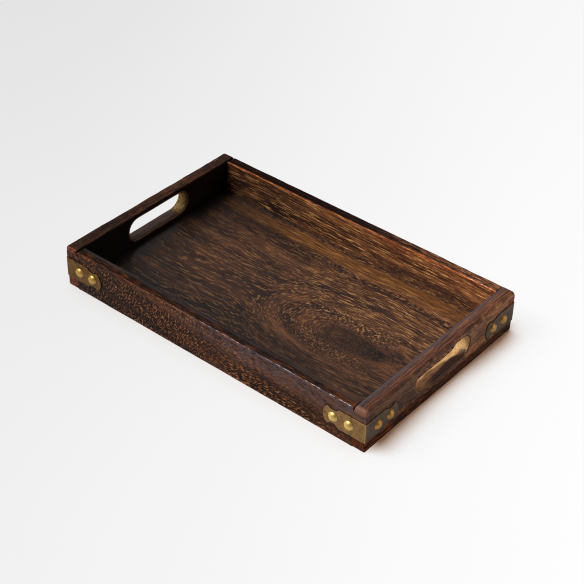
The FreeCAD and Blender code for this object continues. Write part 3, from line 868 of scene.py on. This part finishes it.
def make_board(which, node, material, size, edges, seeds, cutter):
    """Blanks out a worn board of this length, thickness and height, cuts it and turns it into place."""
    bm = bmesh.new()
    board_blank(bm, *size, edges, seeds[0])
    roughen(bm, seeds[1])
    piece = piece_from("wood_" + node.replace("_board", ""), bm)
    cut(piece, cutter)
    piece.data.transform(to_side(which))
    finish_piece(piece, material, node)


def end_board(which, node, material, outer_tops, end_tops):
    """End board, full width, with sockets for the side boards' fingers, a floor groove and a hand slot."""
    edges = dict(outer_foot=1.3 * MM, inner_foot=0.8 * MM, inner_top=1.8 * MM, outer_tops=outer_tops,
                 end_side=1.3 * MM, end_inner=0.2 * MM, end_tops=end_tops, end_foot=2.2 * MM)
    cutter = bmesh.new()
    for end in (-1, 1):
        inner, outer = end * (INNER_Y - GAP), end * (HALF_WIDTH + OVER)
        for foot in FINGER_BOTTOMS:
            socket = rectangle(inner, outer, foot - GAP, foot + FINGER_HEIGHT + GAP)
            add_prism(cutter, socket, -OVER, END_THICK + OVER)
    add_prism(cutter, groove_outline(INNER_Y + TONGUE + GAP), END_THICK - TONGUE - GAP, END_THICK + OVER)
    slot_cutter(cutter)
    size = (2 * HALF_WIDTH, END_THICK, END_HEIGHT)
    make_board(which, node, material, size, edges, (which * 11, which), cutter)


def shoulder_outline(end, finger_top):
    """What is cut off above the fingers, to leave a rounded shoulder a little short of the end board."""
    inner, outer = end * (INNER_X - SHOULDER_GAP), end * (HALF_LENGTH + OVER)
    outline = [(outer, finger_top), (inner, finger_top)]
    steps = 6
    for i in range(steps + 1):
        turn = math.pi / 2 * i / steps
        back = end * SHOULDER_ROUND * (1 - math.cos(turn))
        drop = SHOULDER_ROUND * (1 - math.sin(turn)) - 0.2 * MM
        outline.append((inner - back, SIDE_HEIGHT - drop))
    return outline + [(inner - end * SHOULDER_ROUND, SIDE_HEIGHT + OVER), (outer, SIDE_HEIGHT + OVER)]


def side_board(which, node, material):
    """Side board whose ends are cut to two fingers that pass through the end boards."""
    fine = 0.25 * MM
    edges = dict(outer_foot=1.3 * MM, inner_foot=0.8 * MM, inner_top=1.6 * MM,
                 outer_tops=(1.9 * MM, 1.9 * MM), end_side=fine, end_inner=fine,
                 end_tops=(fine, fine), end_foot=fine)
    cutter = bmesh.new()
    first, second = FINGER_BOTTOMS
    across = (-OVER, SIDE_THICK + OVER)
    for end in (-1, 1):
        inner, outer = end * (INNER_X - GAP), end * (HALF_LENGTH + OVER)
        add_prism(cutter, rectangle(inner, outer, -OVER, first), *across)
        add_prism(cutter, rectangle(inner, outer, first + FINGER_HEIGHT, second), *across)
        add_prism(cutter, shoulder_outline(end, second + FINGER_HEIGHT), *across)
    add_prism(cutter, groove_outline(INNER_X - GAP), SIDE_THICK - TONGUE - GAP, SIDE_THICK + OVER)
    size = (2 * HALF_LENGTH, SIDE_THICK, SIDE_HEIGHT)
    make_board(which, node, material, size, edges, (which * 11 + 5, which + 30), cutter)


def rows_of_places(half_x, half_y, columns, rows):
    """Even places over a rectangle about the middle, row by row."""
    xs = [half_x * (2 * i / columns - 1) for i in range(columns + 1)]
    ys = [half_y * (2 * j / rows - 1) for j in range(rows + 1)]
    return [[(x, y) for x in xs] for y in ys]


def rim(grid):
    """The outermost items of a grid, once round it."""
    right = [row[-1] for row in grid[:-1]]
    left = [row[0] for row in grid[:0:-1]]
    return grid[0][:-1] + right + grid[-1][:0:-1] + left


def floor_board(material):
    """The panel: an uneven top and a plain underside, joined by loops that make its edge and tongue."""
    bm = bmesh.new()
    counts = (124, 75)
    bevel, side_gap, unevenness = 0.5 * MM, 0.05 * MM, 0.10 * MM

    def lift(x, y):
        return unevenness * (wander((x / 4, y, 0), 14 * MM, 3) + 0.6 * wander((x / 6, y, 0), 5 * MM, 8))

    def loop(outwards, z):
        places = rim(rows_of_places(INNER_X + outwards, INNER_Y + outwards, *counts))
        return [bm.verts.new((x, y, z)) for x, y in places]

    top = [[bm.verts.new((x, y, FLOOR_TOP + lift(x, y))) for x, y in row]
           for row in rows_of_places(INNER_X - bevel, INNER_Y - bevel, *counts)]
    fill_grid(bm, top)
    shelf = FLOOR_UNDER + TONGUE_THICK
    loops = [rim(top), loop(-side_gap, FLOOR_TOP - bevel), loop(-side_gap, shelf),
             loop(TONGUE, shelf), loop(TONGUE, FLOOR_UNDER)]
    under = [[bm.verts.new((x, y, FLOOR_UNDER)) for x, y in row]
             for row in rows_of_places(INNER_X + TONGUE - bevel, INNER_Y + TONGUE - bevel, *counts)]
    fill_grid(bm, under)
    loops.append(rim(under))
    for upper, lower in zip(loops, loops[1:]):
        for i in range(len(upper)):
            j = (i + 1) % len(upper)
            bm.faces.new((upper[i], lower[i], lower[j], upper[j]))
    finish_piece(piece_from("wood_floor", bm), material, "floor_panel")


# -------- straps and nails
def arc_between(start, end, radius, bulge, steps):
    """Points from start to end along an arc, not counting start. bulge is the side it bows to."""
    start, end = Vector(start), Vector(end)
    half = (end - start) / 2
    normal = Vector((-half.y, half.x)).normalized() * bulge
    centre = start + half - normal * math.sqrt(radius**2 - half.length_squared)
    first = start - centre
    sweep = 2 * math.asin(half.length / radius) * -bulge
    return [centre + Matrix.Rotation(sweep * i / steps, 2) @ first for i in range(1, steps + 1)]


def strap_outline():
    """The flat strap before it is bent, along it and up, about its middle."""
    horn = (STRAP_HORN, STRAP_HORN_HALF)
    tip_radius = arc_radius(STRAP_HORN_HALF, STRAP_LEG - STRAP_HORN)
    notch_start = (STRAP_NOTCH_START, STRAP_HALF)
    quarter = [Vector((0, STRAP_HALF)), Vector(notch_start)]
    quarter += arc_between(notch_start, horn, STRAP_NOTCH_RADIUS, -1, 12)
    quarter += arc_between(horn, (STRAP_HORN, -STRAP_HORN_HALF), tip_radius, 1, 20)[:10]
    right = quarter + [Vector((p.x, -p.y)) for p in reversed(quarter[:-1])]
    left = [Vector((-p.x, p.y)) for p in reversed(right[1:-1])]
    return right + left


def slice_across(bm, axis, spacing, count):
    """Cuts a flat shape at even steps each side of its middle, so that it can be bent and dented."""
    for k in range(-count, count + 1):
        geometry = bm.verts[:] + bm.edges[:] + bm.faces[:]
        bmesh.ops.bisect_plane(bm, geom=geometry, plane_co=axis * (k * spacing), plane_no=axis)


def flat_strap():
    """The strap before it is bent: a thin plate with bevelled upper edges."""
    bm = bmesh.new()
    bm.faces.new([bm.verts.new((p.x, p.y, 0)) for p in strap_outline()])
    spacing, fold_spacing = 1.6 * MM, 0.35 * MM
    along, across = Vector((1, 0, 0)), Vector((0, 1, 0))
    slice_across(bm, along, spacing, int(STRAP_LEG / spacing))
    slice_across(bm, across, spacing, int(STRAP_HALF / spacing))
    slice_across(bm, along, fold_spacing, 5)
    made = bmesh.ops.extrude_face_region(bm, geom=bm.faces[:])
    for item in made["geom"]:
        if isinstance(item, bmesh.types.BMVert):
            item.co.z = STRAP_THICK
    bm.normal_update()
    sharp = [edge for edge in bm.edges if edge.calc_face_angle(0) > 1]
    upper = [edge for edge in sharp if all(vert.co.z > STRAP_THICK / 2 for vert in edge.verts)]
    bmesh.ops.bevel(bm, geom=upper, offset=0.22 * MM, segments=2, profile=0.5, affect="EDGES")
    return bm


def strap(name, which, node, material):
    """A brass strip with shaped ends, bent round a corner and slightly dented."""
    side_x, side_y = ((1, -1), (1, 1), (-1, 1), (-1, -1))[which]
    bm = flat_strap()
    bend_radius = CORNER_ROUND + STRAP_THICK / 2
    half_bend = bend_radius * math.pi / 4
    centre = Vector((HALF_LENGTH - CORNER_ROUND, HALF_WIDTH - CORNER_ROUND))
    for vert in bm.verts:
        s, h, out = vert.co
        dent = wander((s, h, 0), 13 * MM, which) + 0.5 * wander((s, h, 0), 5 * MM, which + 4)
        out += 0.16 * MM * dent * (out / STRAP_THICK)
        turn = math.pi / 4 + max(-half_bend, min(s, half_bend)) / bend_radius
        spot = centre + Vector((math.cos(turn), math.sin(turn))) * (CORNER_ROUND + out)
        spot[0 if s > 0 else 1] -= max(abs(s) - half_bend, 0)
        vert.co = Vector((spot.x * side_x, spot.y * side_y, STRAP_MID + h))
    finish_piece(piece_from(name, bm), material, node, sharp=50)


def nail_profile(radius, rise):
    """A nail's half section, (radius, height) from the crown round the rim, under the head and down."""
    steps = 14
    sphere = arc_radius(radius, rise)
    angles = [math.asin(radius / sphere) * i / steps for i in range(1, steps + 1)]
    dome = [(sphere * math.sin(angle), rise - sphere * (1 - math.cos(angle))) for angle in angles]
    wall, shank = 0.6 * MM, 0.9 * MM
    rim_edge = [(radius + 0.05 * MM, -0.12 * MM), (radius - wall, -0.15 * MM)]
    hollow = [(radius * 0.7, rise * 0.30), (1.6 * MM, rise - 1.1 * MM)]
    return dome + rim_edge + hollow + [(shank, rise - 1.4 * MM), (shank, NAIL_TAPER - NAIL_LENGTH)]


def add_nail(bm, centre, outward, radius, rise, seed):
    """One domed nail: a slightly beaten head, tilted a little, with its shank going into the wood."""
    turn = outward.to_track_quat("Z", "Y").to_matrix()
    turn = turn @ Matrix.Rotation(math.radians(3.5) * wander((seed, 0, 0), 1.7, 1), 3, "X")
    around = 40
    rings = []
    for r, z in nail_profile(radius, rise):
        ring = []
        for k in range(around):
            angle = 2 * math.pi * k / around
            p = Vector((r * math.cos(angle), r * math.sin(angle), z))
            beat = 0.02 * MM * wander(p, 2.2 * MM, seed) + 0.06 * MM * wander(p, 5 * MM, seed + 2)
            p.z += beat if z > 0 else 0
            ring.append(bm.verts.new(centre + turn @ p))
        rings.append(ring)
    crown = bm.verts.new(centre + turn @ Vector((0, 0, rise)))
    point = bm.verts.new(centre + turn @ Vector((0, 0, -NAIL_LENGTH)))
    for k in range(around):
        j = (k + 1) % around
        bm.faces.new((crown, rings[0][k], rings[0][j]))
        bm.faces.new((point, rings[-1][j], rings[-1][k]))
        for upper, lower in zip(rings, rings[1:]):
            bm.faces.new((upper[k], lower[k], lower[j], upper[j]))


def nails(name, node, material, seed):
    """The two nails of one strap leg, at the places the CAD gives them."""
    low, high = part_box(node)
    radius = (high.z - low.z) / 2
    mid = (low + high) / 2
    on_end = abs(mid.x) > INNER_X
    axis, other = (1, 0) if on_end else (0, 1)
    outward = Vector((0, 0, 0))
    outward[other] = math.copysign(1, mid[other])
    face = (HALF_LENGTH if on_end else HALF_WIDTH) + STRAP_THICK
    rise = max(abs(low[other]), abs(high[other])) - face
    bm = bmesh.new()
    for k, spot in enumerate((low[axis] + radius, high[axis] - radius)):
        centre = mid.copy()
        centre[axis] = spot
        centre[other] = outward[other] * face
        add_nail(bm, centre, outward, radius, rise, seed + k)
    finish_piece(piece_from(name, bm), material, node, sharp=60)


# -------- the tray
def build_tray():
    """Every wooden and brass piece, each in the place of its own node."""
    front_wood = wood("front_side_board", "x", 1, front_figure, front_finish, front_painted_light,
                      sheen=0.07, polish=front_polish, fleck=(206, 112, 44), pore=(22, 14, 14))
    back_wood = wood("back_side_board", "x", 13, back_figure, back_finish, back_painted_light,
                     sheen=back_sheen, polish=back_polish, wave=0.3, streak=26)
    right_wood = wood("right_end_board", "y", 29, right_figure, right_finish, right_painted_light,
                      sheen=right_sheen, wave=0.6, variety=0.7)
    left_wood = wood("left_end_board", "y", 47, left_figure, left_finish, left_painted_light,
                     sheen=0.12, fleck=(136, 80, 56))
    floor_wood = wood("floor_panel", "x", 61, floor_figure, floor_finish, floor_painted_light,
                      polish=floor_polish, streak=20, width=0.95)
    side_board(0, "front_side_board", front_wood)
    end_board(1, "right_end_board", right_wood, (3.6 * MM, 3.6 * MM), (4.5 * MM, 4.5 * MM))
    side_board(2, "back_side_board", back_wood)
    end_board(3, "left_end_board", left_wood, (3.8 * MM, 1.4 * MM), (4.5 * MM, 2.5 * MM))
    floor_board(floor_wood)
    strap_brass, nail_brass = aged_brass(), bright_brass()
    for k, corner in enumerate(("front_right", "back_right", "back_left", "front_left")):
        strap("brass_" + corner, k, corner + "_corner_strap", strap_brass)
        nails("nails_" + corner + "_side", corner + "_side_nails", nail_brass, 10 * k)
        nails("nails_" + corner + "_end", corner + "_end_nails", nail_brass, 10 * k + 5)


# -------- studio
PAPER_GLOW = 0.73
PAPER_SHADOW = 0.18
PAPER_LIGHT = 0.14
# Colours of the painted contact shade, from open paper to closest to the tray.
PAINTED_CONTACT_SHADE = [(0, (255, 255, 255)), (0.31, (225, 211, 203)), (0.89, (158, 129, 108)),
                 (1, (118, 84, 60))]


def lift_paper(g):
    """Lit from under, as a light table is: the camera sees a pale even sheet with soft shadows, and close
    to the tray's right end a warm brown shade painted from ambient occlusion."""
    output = next(n for n in g.tree.nodes if n.type == "OUTPUT_MATERIAL")
    plain = output.inputs["Surface"].links[0].from_socket
    rightward = (g.x * 0.78 + g.y * 0.63).ramp(-460, 460)
    away = (g.y * 0.78 - g.x * 0.63).ramp(-700, 700)
    glow_level = rightward * 0.20 - away * 0.06 + PAPER_GLOW
    # Painted contact shade: ambient occlusion turned into a brown colour beside the right end.
    open_sky = g.node("AmbientOcclusion", {"Distance": 30 * MM}, samples=16)
    closed = 1 - Value(g, open_sky.outputs["AO"])
    beside = g.x.ramp(188, 201) * g.y.ramp(-126, -100)
    near = (closed * closed * 4.4).least(1) * (0.06 + beside * 0.94)
    tint = g.colours(near, *PAINTED_CONTACT_SHADE)
    glow = g.node("Emission", {"Color": tint, "Strength": glow_level})
    dark = g.node("BsdfTransparent", {"Color": (0, 0, 0, 1)})
    soft = g.node("MixShader", {0: (1 - near) * PAPER_SHADOW, 1: dark, 2: plain})
    seen = g.node("AddShader", {0: soft, 1: glow})
    faint = g.node("Emission", {"Color": (1, 1, 1, 1), "Strength": PAPER_LIGHT})
    unseen = g.node("AddShader", {0: plain, 1: faint})
    both = g.node("MixShader", {0: g.camera_sees(), 1: unseen, 2: seen})
    g.tree.links.new(both.outputs[0], output.inputs["Surface"])


def add_floor():
    """A wide sheet of pale paper with a fine tooth."""
    bm = bmesh.new()
    steps, reach = 40, 5
    rows = rows_of_places(reach, reach, steps, steps)
    fill_grid(bm, [[bm.verts.new((x, y, 0)) for x, y in row] for row in rows])
    sheet = piece_from("studio_floor", bm)
    g = Surface("pale_paper")
    cloud = g.noise(g.x / 300, g.y / 300, 0, 1, 2)
    tooth = g.noise(g.x / 1.5, g.y / 1.5, 0, 2, 1)
    colour = g.colours(cloud, (0.2, (0.60, 0.60, 0.60, 1)), (0.8, (0.64, 0.64, 0.64, 1)))
    paper = g.finish(colour, 0.8 + tooth * 0.05, tooth, 0.02 * MM)
    lift_paper(g)
    sheet.data.materials.append(paper)


def add_area_light(name, direction, distance, size, power, tint=(1, 1, 1)):
    """A rectangular light that the camera doesn't see, in this direction from the tray and facing it."""
    data = bpy.data.lights.new(name, "AREA")
    data.shape = "RECTANGLE"
    data.size, data.size_y = size
    data.energy, data.color = power, tint
    lamp = link(name, data)
    away = Vector(direction).normalized()
    turn = away.to_track_quat("Z", "Y").to_matrix().to_4x4()
    lamp.matrix_world = Matrix.Translation(away * distance) @ turn
    lamp.visible_camera = False


def add_world():
    """A pale room, brighter up and to the back left, dark behind the camera. Seen directly it is pale."""
    world = bpy.data.worlds.new("pale_room")
    bpy.context.scene.world = world
    g = Graph(world)
    brightest = {0: g.place["Generated"], 1: Vector((-0.55, 0.35, 0.76))}
    facing = g.node("VectorMath", brightest, operation="DOT_PRODUCT")
    level = Value(g, facing.outputs["Value"]).ramp(-0.1, 1) * 0.27 + 0.03
    shown = g.node("Mix", {0: g.camera_sees(), 2: level, 3: 0.9}, data_type="FLOAT")
    room = g.node("Background", {"Color": (0.93, 0.96, 1, 1), "Strength": shown})
    g.node("OutputWorld", {"Surface": room})


def add_camera():
    """Long lens looking down at the front right corner."""
    data = bpy.data.cameras.new("camera")
    data.sensor_width, data.lens = 36, 93.02
    data.clip_start, data.clip_end = 0.05, 50
    camera = link("camera", data)
    place = Matrix.Translation((0.79646, -0.97840, 0.98266))
    yaw = Matrix.Rotation(math.radians(38.91), 4, "Z")
    pitch = Matrix.Rotation(math.radians(90 - 37.37), 4, "X")
    roll = Matrix.Rotation(math.radians(1.60), 4, "Z")
    camera.matrix_world = place @ yaw @ pitch @ roll
    bpy.context.scene.camera = camera


build_tray()
add_floor()
add_world()
add_area_light("key", (-0.42, -0.50, 0.76), 1.8, (0.9, 0.9), 34)
add_area_light("right_fill", (0.85, 0.42, 0.32), 1.6, (0.9, 0.6), 4.5, (1, 0.92, 0.86))
add_camera()
bpy.context.scene.view_settings.view_transform = "Standard"
bpy.context.scene.cycles.denoising_prefilter = "NONE"
bpy.context.scene.cycles.filter_width = 1.1
